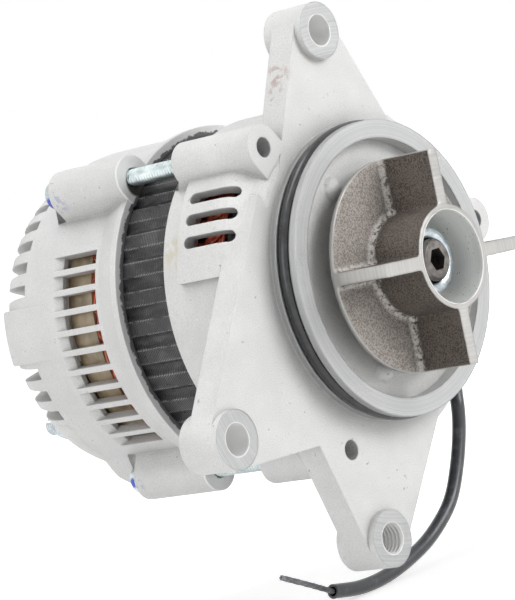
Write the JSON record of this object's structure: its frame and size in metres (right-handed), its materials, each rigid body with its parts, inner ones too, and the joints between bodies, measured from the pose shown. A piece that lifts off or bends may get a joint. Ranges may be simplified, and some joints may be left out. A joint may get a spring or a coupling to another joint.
{
  "type": "alternator",
  "caption": "Claw-pole alternator with a three-ear flange, O-ring pilot and vaned drive coupling; its rotor spins on two bearings between cast brackets.",
  "frame": {"origin": "on the shaft axis, in the middle of the pilot's front land", "axes": "shaft along Y with the drive end toward -Y; +Z through the top ear; +X to the right seen from the drive end"},
  "size_m": [0.1377, 0.1413, 0.1588],
  "materials": {
    "cast_aluminium": "sand cast, satin",
    "machined_steel": "ground",
    "black_rubber": "glossy",
    "seal_rubber": "satin",
    "rough_iron": "rough casting with machined ends",
    "zinc_plate": "blue zinc plate",
    "shaft_steel": "turned",
    "pole_steel": "forged",
    "bobbin_plastic": "moulded",
    "enamelled_copper": "red enamel",
    "pressed_steel": "zinc plate",
    "resin": "moulded",
    "slip_ring_copper": "polished",
    "black_laminations": "thin black varnish",
    "slot_paper": "paper",
    "black_plastic": "moulded",
    "carbon": "carbon",
    "spring_steel": "drawn wire",
    "sheet_aluminium": "rolled sheet",
    "cream_plastic": "moulded",
    "lead_sleeve_rubber": "satin",
    "tinned_wire": "insulated wire"
  },
  "bodies": {
    "housing": {"front_bracket": "cast_aluminium", "pilot_o_ring": "black_rubber", "shaft_oil_seal": "seal_rubber", "front_bearing_outer": "machined_steel", "bearing_retainer": "pressed_steel", "retainer_screws": "zinc_plate", "stator_core": "black_laminations", "slot_insulation": "slot_paper", "stator_winding": "enamelled_copper", "rear_bracket": "cast_aluminium", "rear_bearing_outer": "machined_steel", "brush_holder": "black_plastic", "inner_brush_spring": "spring_steel", "outer_brush_spring": "spring_steel", "positive_heat_sink": "sheet_aluminium", "negative_heat_sink": "sheet_aluminium", "diodes": "machined_steel", "terminal_board": "cream_plastic", "voltage_regulator": "black_plastic", "terminal_stud": "zinc_plate", "terminal_insulator": "resin", "terminal_nut": "zinc_plate", "through_bolts": "zinc_plate", "lead_grommet": "black_rubber", "lead_sleeve": "lead_sleeve_rubber", "lead_wire": "tinned_wire"},
    "rotor": {"rotor_shaft": "shaft_steel", "coupling": "rough_iron", "coupling_nut": "zinc_plate", "thrust_collar": "machined_steel", "front_bearing_inner": "machined_steel", "front_claw_pole": "pole_steel", "rear_claw_pole": "pole_steel", "coil_bobbin": "bobbin_plastic", "field_coil": "enamelled_copper", "front_fan": "pressed_steel", "rear_fan": "pressed_steel", "slip_ring_core": "resin", "slip_rings": "slip_ring_copper", "rear_bearing_inner": "machined_steel"},
    "front_balls": {"front_bearing_balls": "machined_steel"},
    "rear_balls": {"rear_bearing_balls": "machined_steel"},
    "brush_near": {"inner_brush": "carbon"},
    "brush_far": {"outer_brush": "carbon"}
  },
  "joints": [
    {"name": "rotor_spin", "type": "hinge", "parent": "housing", "child": "rotor", "pos_m": [0, 0.0474, 0], "axis": [0, 1, 0], "continuous": true},
    {"name": "front_ball_orbit", "type": "hinge", "parent": "housing", "child": "front_balls", "pos_m": [0, 0.0152, 0], "axis": [0, 1, 0], "continuous": true},
    {"name": "rear_ball_orbit", "type": "hinge", "parent": "housing", "child": "rear_balls", "pos_m": [0, 0.099, 0], "axis": [0, 1, 0], "continuous": true},
    {"name": "inner_brush_slide", "type": "slide", "parent": "housing", "child": "brush_near", "axis": [0, 0, 1], "range_m": [0, 0.004], "stiffness_N_per_m": 150, "springref_m": -0.004, "deforming": ["inner_brush_spring"]},
    {"name": "outer_brush_slide", "type": "slide", "parent": "housing", "child": "brush_far", "axis": [0, 0, 1], "range_m": [0, 0.004], "stiffness_N_per_m": 150, "springref_m": -0.004, "deforming": ["outer_brush_spring"]}
  ],
  "couplings": [
    {"joint": "front_ball_orbit", "follows": "rotor_spin", "ratio": 0.364},
    {"joint": "rear_ball_orbit", "follows": "rotor_spin", "ratio": 0.384}
  ]
}
